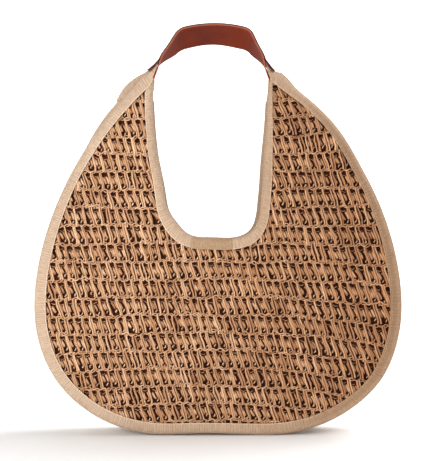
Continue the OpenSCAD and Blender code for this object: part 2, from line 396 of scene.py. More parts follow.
def strands(centres, outward, half_w, half_t, roll=0.0, sides=STRAND_SIDES, keep=None):
    """Flattened strands. centres and outward are (strand, ring, 3), the rest is per ring or one number.
    Returns points, quads and uv, where u runs along a strand in millimetres and v across it from -1 to 1."""
    n, m, _ = centres.shape
    along = np.gradient(centres, axis=1)
    along /= np.linalg.norm(along, axis=2, keepdims=True)
    across = np.cross(along, outward)
    across /= np.linalg.norm(across, axis=2, keepdims=True)
    up = np.cross(across, along)
    roll = np.broadcast_to(roll, (n, m))[..., None]
    across, up = across * np.cos(roll) + up * np.sin(roll), up * np.cos(roll) - across * np.sin(roll)
    a = np.arange(sides) * 2 * math.pi / sides + math.pi / sides
    ca, sa = np.cos(a), np.sin(a)
    ca = np.sign(ca) * np.abs(ca) ** 0.8
    half_w = np.broadcast_to(half_w, (n, m))[..., None, None]
    half_t = np.broadcast_to(half_t, (n, m))[..., None, None]
    points = (centres[:, :, None] + half_w * ca[:, None] * across[:, :, None]
              + half_t * sa[:, None] * up[:, :, None])
    length = np.cumsum(np.linalg.norm(np.diff(centres, axis=1, prepend=centres[:, :1]), axis=2), axis=1)
    uv = np.stack([np.broadcast_to(length[..., None], (n, m, sides)),
                   np.broadcast_to(ca / np.abs(ca).max(), (n, m, sides))], -1)
    i, j, k = np.meshgrid(np.arange(n), np.arange(m - 1), np.arange(sides), indexing="ij")
    base = (i * m + j) * sides
    quads = np.stack([base + k, base + (k + 1) % sides, base + sides + (k + 1) % sides, base + sides + k], -1)
    if keep is not None:
        quads = quads[keep[:, :-1] & keep[:, 1:]]
    return points.reshape(-1, 3), quads.reshape(-1, 4), uv.reshape(-1, 2)


def gather(parts):
    """Joins lists of (points, quads, uv, tint) into one."""
    points, quads, uv, tone_and_shade, start = [], [], [], [], 0
    for p, q, w, t in parts:
        points.append(p)
        quads.append(q + start)
        uv.append(w)
        tone_and_shade.append(t)
        start += len(p)
    return np.vstack(points), np.vstack(quads), np.vstack(uv), np.concatenate(tone_and_shade)


def thick_sheet(name, top, bottom, quads, uv, material):
    """A sheet of cloth: two matching surfaces closed into one solid by walls round their open edges."""
    n = len(top)
    edges = np.concatenate([quads[:, [i, (i + 1) % 4]] for i in range(4)])
    key = np.sort(edges, 1)
    _, first, count = np.unique(key, axis=0, return_index=True, return_counts=True)
    rim = edges[first[count == 1]]
    walls = np.column_stack([rim[:, 1], rim[:, 0], rim[:, 0] + n, rim[:, 1] + n])
    quads = np.vstack([quads, quads[:, ::-1] + n, walls])
    return make_mesh(name, np.vstack([top, bottom]), quads, [material], np.vstack([uv, uv]))


# ---------------------------------------------------------------- materials

def node_material(name, roughness, specular=0.5):
    """A principled material with its nodes, and a function that adds and links nodes to it."""
    m = bpy.data.materials.new(name)
    m.use_nodes = True
    tree = m.node_tree
    shader = tree.nodes["Principled BSDF"]
    shader.inputs["Roughness"].default_value = roughness
    shader.inputs["Specular IOR Level"].default_value = specular

    def add(kind, links=(), **values):
        node = tree.nodes.new(kind)
        for key, value in values.items():
            if hasattr(node, key):
                setattr(node, key, value)
            else:
                node.inputs[key.replace("_", " ")].default_value = value
        for source, target in links:
            tree.links.new(source, node.inputs[target])
        return node

    return m, tree, shader, add


def linear(value):
    """A linear value from an sRGB one of 0-255."""
    v = value / 255
    return v / 12.92 if v <= 0.04045 else ((v + 0.055) / 1.055) ** 2.4


def srgb(*values):
    """A linear colour from three values of 0-255."""
    return tuple(linear(v) for v in values) + (1,)


def ramp(add, source, stops):
    """A colour socket that runs through stops of (place, colour)."""
    node = add("ShaderNodeValToRGB", [(source, "Fac")])
    elements = node.color_ramp.elements
    while len(elements) < len(stops):
        elements.new(0.5)
    for element, (place, colour) in zip(elements, stops):
        element.position = place
        element.color = colour
    return node.outputs[0]


def multiply(add, colour, *others, factor=1.0):
    """Multiplies a colour by others, one after another."""
    for other in others:
        node = add("ShaderNodeMix", [(colour, 6), (other, 7)], data_type="RGBA", blend_type="MULTIPLY")
        node.inputs[0].default_value = factor
        colour = node.outputs[2]
    return colour


def noise(add, source, scale, detail):
    return add("ShaderNodeTexNoise", [(source, "Vector")], Scale=scale, Detail=detail).outputs["Fac"]


def relief(add, shader, height, strength, distance):
    """Raises the surface by a height socket."""
    node = add("ShaderNodeBump", [(height, "Height")], Strength=strength, Distance=distance)
    node.id_data.links.new(node.outputs[0], shader.inputs["Normal"])


def painted_shade_to_right(add, place):
    """Painted shade: the bag's colour darkens a little towards its right, where less light falls."""
    parts = add("ShaderNodeSeparateXYZ", [(place, "Vector")])
    along = add("ShaderNodeMapRange", [(parts.outputs[0], "Value")])
    along.inputs["From Min"].default_value = -0.12
    along.inputs["From Max"].default_value = 0.2
    return ramp(add, along.outputs[0], [(0.0, (1, 1, 1, 1)), (1.0, (0.72, 0.62, 0.52, 1))])


def straw_material():
    """Flat paper straw: fibres that run along each strand, a tone per strand, and a soft shine."""
    m, tree, shader, add = node_material("straw", 0.6, 0.35)
    uv = add("ShaderNodeUVMap")
    scaled = add("ShaderNodeMapping", [(uv.outputs[0], "Vector")])
    scaled.inputs["Scale"].default_value = (0.16, 2.6, 1)
    fibre = noise(add, scaled.outputs[0], 1.0, 3.0)
    tone_and_shade = add("ShaderNodeAttribute", attribute_name="tone_and_shade")
    place = add("ShaderNodeTexCoord").outputs["Object"]
    stain = noise(add, place, 22.0, 2.0)
    tone = ramp(add, tone_and_shade.outputs["Fac"], [(0.0, srgb(180, 131, 92)), (0.5, srgb(208, 161, 120)),
                                          (1.0, srgb(236, 197, 160))])
    parts = add("ShaderNodeSeparateXYZ", [(uv.outputs[0], "Vector")])
    across = add("ShaderNodeMath", [(parts.outputs[1], 0)], operation="ABSOLUTE")
    # painted shade: each strand darkens towards its edges, where it turns away from the light and meets its
    # neighbours
    sides = ramp(add, across.outputs[0], [(0.4, (1, 1, 1, 1)), (1.0, (0.3, 0.16, 0.09, 1))])
    streak = ramp(add, fibre, [(0.3, (0.62, 0.58, 0.54, 1)), (0.62, (1.08, 1.08, 1.08, 1))])
    patch = ramp(add, stain, [(0.3, (0.9, 0.87, 0.84, 1)), (0.7, (1.05, 1.05, 1.05, 1))])
    # the last factor is painted shade, darker towards the bag's right
    colour = multiply(add, tone, streak, patch, sides, painted_shade_to_right(add, place))
    tree.links.new(colour, shader.inputs["Base Color"])
    relief(add, shader, fibre, 0.5, 0.0004)
    return m


def cloth_material(name, dark, light, weave, raised, roughness=0.85, sheen=0.25):
    """Woven cloth. weave is the size of its threads along u and v of the UV map, which is in millimetres."""
    m, tree, shader, add = node_material(name, roughness, 0.25)
    uv = add("ShaderNodeUVMap")
    parts = add("ShaderNodeSeparateXYZ", [(uv.outputs[0], "Vector")])
    waves = []
    for axis, size in ((0, weave[0]), (1, weave[1])):
        turned = add("ShaderNodeMath", [(parts.outputs[axis], 0)], operation="MULTIPLY")
        turned.inputs[1].default_value = 2 * math.pi / size
        waves.append(add("ShaderNodeMath", [(turned.outputs[0], 0)], operation="SINE").outputs[0])
    thread = add("ShaderNodeMath", [(waves[0], 0), (waves[1], 1)], operation="MULTIPLY")
    slub = noise(add, uv.outputs[0], 0.55, 4.0)
    place = add("ShaderNodeTexCoord").outputs["Object"]
    stain = noise(add, place, 16.0, 3.0)
    total = add("ShaderNodeMath", [(thread.outputs[0], 0), (slub, 2)], operation="MULTIPLY_ADD")
    total.inputs[1].default_value = 0.16
    tone = ramp(add, total.outputs[0], [(0.25, dark), (0.72, light)])
    patch = ramp(add, stain, [(0.3, (0.92, 0.9, 0.88, 1)), (0.7, (1.04, 1.04, 1.04, 1))])
    # painted shade: a per-point number darkens the tape in the grooves between its ribs and on its inner half
    # towards the bag's right
    painted_shade = add("ShaderNodeAttribute", attribute_name="tone_and_shade")
    shade_darkening = ramp(add, painted_shade.outputs["Fac"], [(0.0, (1, 1, 1, 1)), (1.0, (0.62, 0.52, 0.44, 1))])
    # the last factor is painted shade, darker towards the bag's right
    colour = multiply(add, tone, patch, shade_darkening, painted_shade_to_right(add, place))
    tree.links.new(colour, shader.inputs["Base Color"])
    shader.inputs["Sheen Weight"].default_value = sheen
    shader.inputs["Sheen Roughness"].default_value = 0.5
    relief(add, shader, thread.outputs[0], raised, 0.0002)
    return m


def leather_material(name, dark, light, roughness):
    """Smooth leather with a fine grain and slow changes of tone."""
    m, tree, shader, add = node_material(name, roughness, 0.08)
    place = add("ShaderNodeTexCoord").outputs["Object"]
    grain = add("ShaderNodeTexVoronoi", [(place, "Vector")], Scale=900.0)
    slow = noise(add, place, 28.0, 4.0)
    tone = ramp(add, slow, [(0.3, dark), (0.7, light)])
    pores = ramp(add, grain.outputs["Distance"], [(0.0, (0.86, 0.84, 0.82, 1)), (0.35, (1, 1, 1, 1))])
    colour = multiply(add, tone, pores, factor=0.7)
    tree.links.new(colour, shader.inputs["Base Color"])
    relief(add, shader, grain.outputs["Distance"], 0.16, 0.0002)
    wear = add("ShaderNodeMapRange", [(slow, "Value")])
    wear.inputs["To Min"].default_value = roughness - 0.08
    wear.inputs["To Max"].default_value = roughness + 0.1
    tree.links.new(wear.outputs[0], shader.inputs["Roughness"])
    return m


def metal_material(name, colour, roughness):
    """Plated metal with fine scratches."""
    m, tree, shader, add = node_material(name, roughness)
    shader.inputs["Metallic"].default_value = 1.0
    place = add("ShaderNodeTexCoord").outputs["Object"]
    scratches = noise(add, place, 700.0, 4.0)
    dull = tuple(0.85 * c for c in colour[:3]) + (1,)
    tone = ramp(add, scratches, [(0.3, dull), (0.7, colour)])
    tree.links.new(tone, shader.inputs["Base Color"])
    relief(add, shader, scratches, 0.1, 0.0001)
    return m


def floor_material():
    """Pale studio floor with a very faint mottling. From 0.3 m behind the bag's middle it glows more and
    more, up to full at 1.6 m: a painted glow that lights the backdrop white.
    """
    m, tree, shader, add = node_material("studio_floor", 0.9, 0.1)
    place = add("ShaderNodeTexCoord").outputs["Object"]
    mottle = noise(add, place, 3.0, 2.0)
    tone = ramp(add, mottle, [(0.3, (0.9, 0.895, 0.89, 1)), (0.7, (0.92, 0.92, 0.915, 1))])
    tree.links.new(tone, shader.inputs["Base Color"])
    tree.links.new(tone, shader.inputs["Emission Color"])
    parts = add("ShaderNodeSeparateXYZ", [(place, "Vector")])
    glow = add("ShaderNodeMapRange", [(parts.outputs[1], "Value")])
    for name, value in (("From Min", 0.3), ("From Max", 1.6), ("To Min", 0.0), ("To Max", 1.0)):
        glow.inputs[name].default_value = value
    tree.links.new(glow.outputs[0], shader.inputs["Emission Strength"])
    return m


STRAW = straw_material()
TAPE = cloth_material("tape", srgb(173, 147, 124), srgb(206, 181, 157), (0.9, 0.9), 0.5, 0.85, 0.1)
TAPE_EDGE = cloth_material("tape_selvedge", srgb(196, 168, 144), srgb(226, 204, 182), (0.9, 0.6), 0.3,
                           0.85, 0.1)
TAPE_LAP = cloth_material("tape_lap", srgb(172, 140, 108), srgb(208, 178, 146), (0.5, 0.7), 0.8, 0.85, 0.1)
GUSSET = cloth_material("gusset_cloth", srgb(178, 148, 118), srgb(205, 176, 145), (0.8, 2.4), 0.6)
LINING = cloth_material("lining_cloth", srgb(50, 20, 8), srgb(78, 36, 17), (0.8, 0.8), 0.5, 0.9, 0.0)
LEATHER = leather_material("strap_leather", srgb(74, 21, 11), srgb(98, 32, 18), 0.55)
UNDERSIDE = leather_material("strap_underside", srgb(98, 33, 15), srgb(122, 46, 22), 0.75)
EDGE = leather_material("strap_edge", srgb(172, 82, 52), srgb(190, 100, 66), 0.55)
CORE = cloth_material("stiffener", srgb(96, 88, 82), srgb(120, 112, 104), (0.9, 0.9), 0.4)
THREAD = cloth_material("thread", srgb(92, 40, 28), srgb(120, 58, 42), (0.5, 0.5), 0.4)
TAPE_THREAD = cloth_material("tape_thread", srgb(196, 166, 132), srgb(224, 198, 168), (0.5, 0.5), 0.4)
BRASS = metal_material("snap_metal", (0.83, 0.68, 0.42, 1), 0.28)
BRONZE = metal_material("washer_metal", (0.05, 0.025, 0.014, 1), 0.7)


def stand_for(obj, body, slot, *nodes):
    """Hides the CAD nodes that a new piece stands for, and hangs the piece on its body, or bakes it in place
    for both bodies. slot is not used.
    """
    if nodes:
        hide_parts(*nodes)
    if body == "both":
        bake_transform(obj)
    else:
        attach(obj, body)
    return obj


# ---------------------------------------------------------------- crochet

def row_height(x):
    """The rows open out a little to the left and more to the right."""
    return ROW_H + 0.4 * (np.minimum(x, 0) / 127) ** 2 + 1.4 * (np.maximum(x, 0) / 132) ** 2


def inside(x, z, inset):
    """True inside the panel, at least inset from its outline and its mouth."""
    ok = (x > edge_x(z, -1, inset)) & (x < edge_x(z, 1, inset)) & (z > inset) & (z < HINGE_Z - 8)
    left, right = mouth_edge_x(z, -1, inset), mouth_edge_x(z, 1, inset)
    return ok & ((z < MOUTH_Z - inset) | (x < left) | (x > right))


def column_x(u):
    """X of a stitch column. The stitches get a little wider towards the sides."""
    return STITCH_W * (u + np.where(u > 0, 0.00011, 0.00005) * u ** 3)


def row_wave(x, row):
    """Rows are a little uneven."""
    return 1.0 * np.sin(x / 23 + row * 1.7) + 0.6 * np.sin(x / 9.1 + row * 2.9)


def laid_on_panel(x, z, height, side):
    """Places of strands on a panel, which way is out there, and which of them lie inside it."""
    centres = settle(on_panel(side * -x, z, height, side))
    outward = settle(on_panel(side * -x, z, height + 1.0, side)) - centres
    return centres, outward, inside(side * -x, z, 4.0)


def stitch_strand(cells, path, half_w, half_t, roll, spread, rng, side, light=0.5):
    """One strand of every stitch. path is rows of (u, v, height), u in stitch widths and v down the row.
    light is how light its straw is, from 0 to 1."""
    column, row, lean = cells
    n, m = len(column), STRAND_RINGS
    path = np.array(path, float)
    t = np.linspace(0, 1, m)
    knots = np.linspace(0, 1, len(path))
    u, v, h = (np.interp(t, knots, path[:, i]) for i in range(3))
    for values in (u, v, h):
        values[1:-1] = 0.25 * values[:-2] + 0.5 * values[1:-1] + 0.25 * values[2:]
    jitter = rng.normal(0, 1, (n, 6, 1)) * spread
    bow = np.sin(math.pi * t)
    across = u[None] + lean[:, None] * smooth(v)[None]
    x = column_x(column[:, None] + across + 0.045 * jitter[:, 0] + 0.04 * jitter[:, 4] * bow)
    drop = v[None] + 0.012 * jitter[:, 1] + 0.012 * jitter[:, 5] * bow
    z = ROW_Z + (row[:, None] - drop) * row_height(x) + row_wave(x, row[:, None])
    centres, outward, keep = laid_on_panel(x, z, h[None] + 0.16 * jitter[:, 2], side)
    w = half_w * (1 + 0.1 * jitter[:, 3]) * np.ones(m)
    points, quads, uv = strands(centres, outward, w, half_t, roll + 0.18 * jitter[:, 4], keep=keep)
    tone_and_shade = np.repeat(np.clip(light + 0.24 * rng.normal(0, 1, n), 0, 1), m * STRAND_SIDES)
    uv[:, 0] += np.repeat(rng.uniform(0, 500, n), m * STRAND_SIDES)
    return points, quads, uv, tone_and_shade


def chain_strand(row, phase, rng, side):
    """One of the two strands that cross along the top of a row, scalloped over the holes."""
    u = np.arange(-COLUMNS, COLUMNS, 1 / 8)
    x = column_x(u)
    turn = 2 * math.pi * u + phase
    knots = np.arange(-COLUMNS - 0.5, COLUMNS + 0.6, 0.5)
    loops = np.interp(u, knots, rng.normal(0, 1, len(knots)))
    rise = 0.3 * np.cos(2 * math.pi * u) + 0.95 * np.sin(turn) + 0.8 * loops
    rise += 0.4 * wander(x / 6, int(row * 7 + phase * 3) + 400)
    z = ROW_Z + row * row_height(x) + row_wave(x, row) + rise
    height = -1.25 + 0.75 * np.cos(turn) + 0.55 * np.roll(loops, 7)
    centres, outward, keep = laid_on_panel(x[None], z[None], height[None], side)
    w = 0.74 + 0.22 * wander(x / 5, int(row * 3 + phase) + 900)
    points, quads, uv = strands(centres, outward, w[None], 0.6, 0.4 * np.sin(turn)[None], keep=keep)
    tone_and_shade = np.repeat(np.clip(0.6 + 0.3 * np.roll(loops, 3), 0, 1), STRAND_SIDES)
    return points, quads, uv, tone_and_shade


def post_strands():
    """The two posts of a stitch side by side: (path, half width, half thickness, roll) of each."""
    down = np.linspace(-0.03, 1.03, STRAND_RINGS)
    slide = np.clip((down - 0.08) / 0.82, 0, 1)
    middle = 0.5 + 0.265 * (slide + smooth(slide))
    belly = bump((down - 0.52) / 0.34)
    foot = smooth((down - 0.86) / 0.14)
    apart = 0.08 + 0.04 * belly + 0.05 * foot
    wide = 1.14 + 0.24 * belly - 0.1 * bump((down - 0.8) / 0.14) + 0.3 * foot
    over = -1.5 + 0.7 * np.sin(math.pi * np.clip(down, 0, 1))
    posts = []
    for place in (-1, 1):
        path = np.column_stack([middle + place * apart, down, over - 0.25 * (place > 0)])
        posts.append((path, wide, 0.75, place * 0.3))
    return posts


# A stitch's other strands: path, half width, half thickness, roll, spread and lightness
FILL_STRANDS = [
    ([(-0.14, 0.36, -3.6), (-0.04, 0.42, -1.9), (0.08, 0.52, -1.5), (0.19, 0.62, -1.8), (0.26, 0.69, -3.4)],
     1.62, 0.6, 0.3, 1.25, 0.5),
    ([(0.32, 0.33, -3.4), (0.42, 0.42, -1.8), (0.53, 0.53, -1.5), (0.61, 0.62, -1.9), (0.66, 0.69, -3.4)],
     1.42, 0.6, -0.2, 1.25, 0.5),
    # this strand lies deep in the hole, and its straw is made dark (lightness 0.2) as painted shade
    ([(-0.3, 0.20, -4.6), (-0.1, 0.27, -3.9), (0.08, 0.30, -3.7), (0.3, 0.24, -4.6)],
     0.55, 0.5, 0, 1.3, 0.2),
    ([(0.46, 0.88, -3.2), (0.50, 0.83, -1.4), (0.55, 0.79, -1.1), (0.61, 0.745, -3.0)],
     0.8, 0.65, 0, 1.4, 1.0),
]


def crochet_band(side, rows):
    """Stitches of some rows of one panel."""
    rng = np.random.default_rng(100 + 50 * side + rows[0])
    column, row = [a.ravel().astype(float) for a in np.meshgrid(np.arange(-COLUMNS, COLUMNS), rows)]
    lean = 0.05 * column / 20 + 0.05 * wander(column / 2 + 3 * row, 8) + 0.07 * rng.normal(0, 1, len(column))
    column += 0.10 * wander(row, 5) + 0.06 * wander(column / 3 + row, 6)
    cells = column, row, lean
    parts = [stitch_strand(cells, path, half_w, half_t, roll, 1.25, rng, side)
             for path, half_w, half_t, roll in post_strands()]
    parts += [stitch_strand(cells, path, half_w, half_t, roll, spread, rng, side, light)
              for path, half_w, half_t, roll, spread, light in FILL_STRANDS]
    parts += [chain_strand(float(top), phase, rng, side) for top in rows for phase in (0.0, math.pi)]
    return gather(parts)


def crochet(side, label):
    """One panel's straw, in bands of rows. The highest band bends with the handle."""
    for i, rows in enumerate(ROW_BANDS):
        points, quads, uv, tone_and_shade = crochet_band(side, list(rows))
        obj = make_mesh(f"{label}_straw_{i}", points, quads, [STRAW], uv, tone_and_shade)
        stands_for = [f"{label}_panel"] if i == 0 else []
        stand_for(obj, "both" if rows is ROW_BANDS[-1] else "bag", "straw", *stands_for)


# ---------------------------------------------------------------- tape

def room_to(points, inward, wall):
    """How far each point can move along its own direction before it meets another line."""
    a, e = wall[:-1], np.diff(wall, axis=0)
    room = np.full(len(points), 1e3)
    for i, (p, d) in enumerate(zip(points, inward)):
        if p[1] < HORN_Z:
            continue
        cross = d[0] * e[:, 1] - d[1] * e[:, 0]
        cross = np.where(np.abs(cross) < 1e-9, 1e-9, cross)
        w = a - p
        t = (w[:, 0] * e[:, 1] - w[:, 1] * e[:, 0]) / cross
        along = (w[:, 0] * d[1] - w[:, 1] * d[0]) / cross
        hit = (t > 0) & (along >= 0) & (along <= 1)
        if hit.any():
            room[i] = t[hit].min()
    return room


def tape_profile(width):
    """Section of the folded tape: (distance in from the edge, height over the panel, rib, selvedge)."""
    inner = -LINING_OUT - 0.3
    k = min(width / 10, 1)
    selvedge = [(width, 0.05, 0, 1), (width, 0.85, 0, 1), (width - 0.45 * k, 1.25, 0, 1),
                (width - 1.1 * k, 0.95, 0.4, 1)]
    outside = [(width - 1.6 * k, 0.9, 1, 0), (0.72 * width, 0.95, 1, 0), (0.55 * width, 0.9, 1, 0),
               (4.6 * k, 0.5, 1, 0), (2.8 * k, -0.4, 1, 0), (1.3 * k, -1.7, 1, 0), (0.25 * k, -3.3, 1, 0),
               (0.2 * k, -4.8, 1, 0), (1.2 * k, -6.4, 1, 0), (3.2 * k, -7.2, 1, 0),
               (0.55 * width, -7.5, 1, 0), (width, -7.5, 0, 1)]
    inside_fold = [(width, inner - 0.2, 0, 0), (4.2 * k, inner, 0, 0), (1.9 * k, -3.4, 0, 0),
                   (3.4 * k, -0.3, 0, 0)]
    return np.array(selvedge + outside + inside_fold, float)


def tape(name, line, inward, distance, width, raise_by, side, slot_materials, ribbing):
    """Sweeps the folded section along a line. width and raise_by are per point of the line, and ribbing is
    how strong the ribs across the tape are."""
    sections = np.stack([tape_profile(w) for w in width])
    turn = math.pi * distance / RIB + 0.6 * wander(distance / 5, 31)
    ridge = np.abs(np.cos(turn))
    rib = ribbing * (0.28 + 0.12 * wander(distance / 3, 32)) * (1.5 * ridge - 1)
    # painted shade: the grooves between the ribs are darkened
    painted_shade = ribbing * ((1 - ridge) ** 2 * (0.75 + 0.25 * wander(distance / 4, 33)))
    painted_shade = painted_shade[:, None] * (sections[..., 2] > 0.5)
    u = sections[..., 0]
    # painted shade: towards the right of the bag the tape's flat inner half is darkened more than its rounded
    # outer half, as if the light came from the right and behind
    flat_half = smooth((u / width[:, None] - 0.3) / 0.2) * (sections[..., 1] > -1)
    painted_shade = np.maximum(painted_shade, 0.65 * smooth((line[:, 0] - 50) / 90)[:, None] * flat_half)
    h = sections[..., 1] + raise_by[:, None] * smooth((sections[..., 1] + 3) / 3)
    face = np.where(h > -3, 1, -1)
    round_edge = np.abs(u) < 2.5
    h = h + rib[:, None] * sections[..., 2] * face * ~round_edge
    u = u - rib[:, None] * sections[..., 2] * round_edge * np.minimum(width / 10, 1)[:, None]
    x = line[:, None, 0] + inward[:, None, 0] * u
    z = line[:, None, 1] + inward[:, None, 1] * u
    points = settle(on_panel(x, z, h, side))
    rows, columns = u.shape
    quads = grid_quads(rows, columns, closed=True)
    selvedge = sections[0, :, 3] > 0
    slots = np.tile(selvedge & np.roll(selvedge, -1), rows - 1)
    around = distances(sections[0, :, :2])
    uv = np.stack([np.broadcast_to(distance[:, None], u.shape), np.broadcast_to(around, u.shape)], -1)
    return make_mesh(name, points, quads, slot_materials, uv, painted_shade, slots)


def stitch_line(line, inward, distance, width, raise_by, side, pitch=3.4):
    """Sewing stitches along the inner edge of a tape."""
    s = np.arange(pitch, distance[-1] - pitch, pitch)
    half = 1.1
    t = np.linspace(-half, half, 5)
    where = s[:, None] + t[None]
    x0, z0 = at(where, distance, line)
    nx, nz = at(where, distance, inward)
    u = np.interp(where, distance, width) - 2.3
    h = 1.05 + np.interp(where, distance, raise_by) - 0.32 * (t / half) ** 2
    centres = settle(on_panel(x0 + nx * u, z0 + nz * u, h, side))
    outward = settle(on_panel(x0 + nx * u, z0 + nz * u, h + 1, side)) - centres
    points, quads, uv = strands(centres, outward, 0.24, 0.2, sides=6)
    return points, quads, uv, np.zeros(len(points))


def edge_tape(side, label):
    """The folded tape round a panel's outer edge. It lies over the mouth's tape at the tips."""
    line, distance = resample(OUTER, RIB / 7)
    inward = normals(line)
    from_tip = np.minimum(distance, distance[-1] - distance)
    width = 10.8 + 2.6 * smooth((330 - line[:, 1]) / 200) + 0.25 * wander(distance / 30, 11)
    room = room_to(line, inward, MOUTH)
    width = np.minimum(np.minimum(width, np.maximum(room - 0.3, 1.0)), 0.9 + 0.42 * from_tip)
    raise_by = 1.0 * (1 - smooth((from_tip - 30) / 30)) * smooth(from_tip / 12)
    obj = tape(f"{label}_edge_tape", line, inward, distance, width, raise_by, side, [TAPE, TAPE_EDGE], 0.7)
    stand_for(obj, "both", "tape", f"{label}_edge_binding")
    keep = from_tip > 26
    return stitch_line(line[keep], inward[keep], distance[keep] - distance[keep][0], width[keep],
                       raise_by[keep], side)


def mouth_tape(side, label):
    """The folded tape round the mouth, with its ends lapped at the lowest point."""
    line, distance = resample(MOUTH, RIB / 7)
    inward = -normals(line)
    low = bump((line[:, 1] - MOUTH_Z) / 40)
    width = 10.6 + 0.3 * wander(distance / 25, 21) + low * (3.0 + 0.5 * wander(distance / 9, 22))
    width -= 5.8 * smooth((line[:, 1] - 268) / 100) * (line[:, 0] > MOUTH_X)
    from_top = np.minimum(distance, distance[-1] - distance)
    width = np.minimum(width, np.maximum(room_to(line, inward, OUTER) - 2.5, 0.9))
    width = np.minimum(width, 0.8 + 0.3 * from_top)
    raise_by = -0.1 + 0.45 * low * wander(distance / 6, 23)
    obj = tape(f"{label}_mouth_tape", line, inward, distance, width, raise_by, side, [TAPE, TAPE_EDGE], 0.5)
    stand_for(obj, "both", "tape", f"{label}_mouth_binding")
    lap = (line[:, 0] > -28) & (line[:, 0] < 11) & (line[:, 1] < MOUTH_Z + 8)
    lap_obj = tape(f"{label}_mouth_lap", line[lap], inward[lap], distance[lap], width[lap] + 0.2,
                   np.full(lap.sum(), 0.75), side, [TAPE_LAP, TAPE_LAP], 0.4)
    stand_for(lap_obj, "bag", "tape")
    return stitch_line(line, inward, distance, width, raise_by, side)


def tapes(side, label):
    """Both tapes of a panel, and their sewing."""
    points, quads, uv, _ = gather([edge_tape(side, label), mouth_tape(side, label)])
    obj = make_mesh(f"{label}_tape_stitches", points, quads, [TAPE_THREAD], uv)
    stand_for(obj, "both", "thread")


# ---------------------------------------------------------------- gusset and lining

def gusset_strip(name, inset, thick, ribs, material, slot, node):
    """A strip of cloth between the panels, inset from the outline, with ribs along it."""
    line, distance = resample(OUTER, 4.0)
    inward = normals(line)
    columns = 97 if ribs else 25
    t = np.linspace(-1, 1, columns)
    from_tip = np.minimum(distance, distance[-1] - distance)
    room = np.minimum(room_to(line, inward, MOUTH) - thick - 2, 0.4 * from_tip)
    reach = np.minimum(1, np.maximum(room, 0.5) / (inset + 1e-6))
    rib = 0.22 * np.cos(t * math.pi * 2 * 10) if ribs else 0 * t
    bow = 2.2 * (1 - t ** 2)
    depth = half_depth(line[:, 0], line[:, 1]) - 7.2
    y = depth[:, None] * t[None]
    ends = smooth(from_tip / 40)
    layers = []
    for extra in (0.0, thick):
        u = (inset * reach)[:, None] + extra + (bow[None] * ends[:, None]) + (rib[None] if extra == 0 else 0)
        layers.append(settle(np.stack([line[:, None, 0] + inward[:, None, 0] * u, y,
                                       line[:, None, 1] + inward[:, None, 1] * u], -1)).reshape(-1, 3))
    uv = np.stack([np.broadcast_to(distance[:, None], y.shape), y], -1).reshape(-1, 2)
    obj = thick_sheet(name, *layers, grid_quads(len(line), columns), uv, material)
    return stand_for(obj, "both", slot, node)


def panel_sheet(name, side, height, thick, inset, mouth_inset, material, slot, node):
    """A thin sheet that lies on a panel between the outline and the mouth, height above its outer surface."""
    z = np.linspace(inset + 0.2, HINGE_Z + 3, 110)
    columns = 45
    t = np.linspace(0, 1, columns)
    halves, faces, start = [], [], 0
    for half in (-1, 1):
        outer, inner = edge_x(z, half, inset), mouth_edge_x(z, half, mouth_inset)
        closed = half * (outer - inner) < 0.4
        outer = np.where(closed, inner + half * 0.4, outer)
        grid_x = inner[:, None] + (outer - inner)[:, None] * t[None]
        halves.append(np.stack([grid_x, np.broadcast_to(z[:, None], grid_x.shape)], -1).reshape(-1, 2))
        quads = grid_quads(len(z), columns)
        row = quads[:, 0] // columns
        quads = quads[~(closed[row] | closed[row + 1])]
        faces.append((quads if half < 0 else quads[:, ::-1]) + start)
        start += len(z) * columns
    flat, quads = np.vstack(halves), np.vstack(faces)
    seam_left = np.arange(len(z)) * columns
    joined = z <= MOUTH_Z - mouth_inset
    remap = np.arange(start)
    remap[seam_left[joined] + start // 2] = seam_left[joined]
    quads = remap[quads]
    layers = [settle(on_panel(flat[:, 0], flat[:, 1], h, side)) for h in (height, height - thick)]
    obj = thick_sheet(name, *layers, quads if side < 0 else quads[:, ::-1], flat, material)
    return stand_for(obj, "both", slot, node)


def pocket():
    """The slip pocket on the back lining. Its mouth hangs slightly open."""
    z = np.linspace(0, 1, 50)
    t = np.linspace(-1, 1, 60)
    zz = POCKET_Z + POCKET_H * z
    below = np.maximum(POCKET_Z + POCKET_CORNER - zz, 0)
    cut = POCKET_CORNER - np.sqrt(POCKET_CORNER ** 2 - below ** 2)
    x = (POCKET_W / 2 - cut)[:, None] * t[None]
    open_by = 3.5 * smooth((z - 0.6) / 0.4)[:, None] * (1 - t[None] ** 2)
    shape = np.broadcast_to(zz[:, None], x.shape)
    layers = [settle(on_panel(x, shape, -6.5 - open_by - extra, 1)).reshape(-1, 3) for extra in (0, 0.8)]
    uv = np.stack([x, shape], -1).reshape(-1, 2)
    obj = thick_sheet("slip_pocket_cloth", *layers, grid_quads(*x.shape)[:, ::-1], uv, LINING)
    stand_for(obj, "bag", "lining_cloth", "slip_pocket")
    hem = z > 1 - POCKET_HEM / POCKET_H
    layers = [settle(on_panel(x[hem], shape[hem], (-7.35 - open_by - extra)[hem], 1)).reshape(-1, 3)
              for extra in (0, 0.6)]
    uv = np.stack([x[hem], shape[hem]], -1).reshape(-1, 2)
    hem_obj = thick_sheet("pocket_hem_tape", *layers, grid_quads(*x[hem].shape)[:, ::-1], uv, TAPE)
    stand_for(hem_obj, "bag", "tape", "pocket_hem")


# ---------------------------------------------------------------- handle

def strap_section(top, bottom):
    """Rounded section of a layer of the strap: (y, depth below the strap's upper face). The sides fall."""
    half, r = STRAP_W / 2, (bottom - top) / 2
    middle = (top + bottom) / 2
    a = np.linspace(-math.pi / 2, math.pi / 2, 9)
    right = np.column_stack([half - r + r * np.cos(a), middle + r * np.sin(a)])
    across = np.linspace(half - r, -half + r, 24)[1:-1]
    lower = np.column_stack([across, np.full(len(across), bottom)])
    left = right[::-1] * (-1, 1)
    upper = np.column_stack([across[::-1], np.full(len(across), top)])
    section = np.vstack([right, lower, left, upper])
    section[:, 1] += STRAP_FALL * (section[:, 0] / half) ** 2
    return section


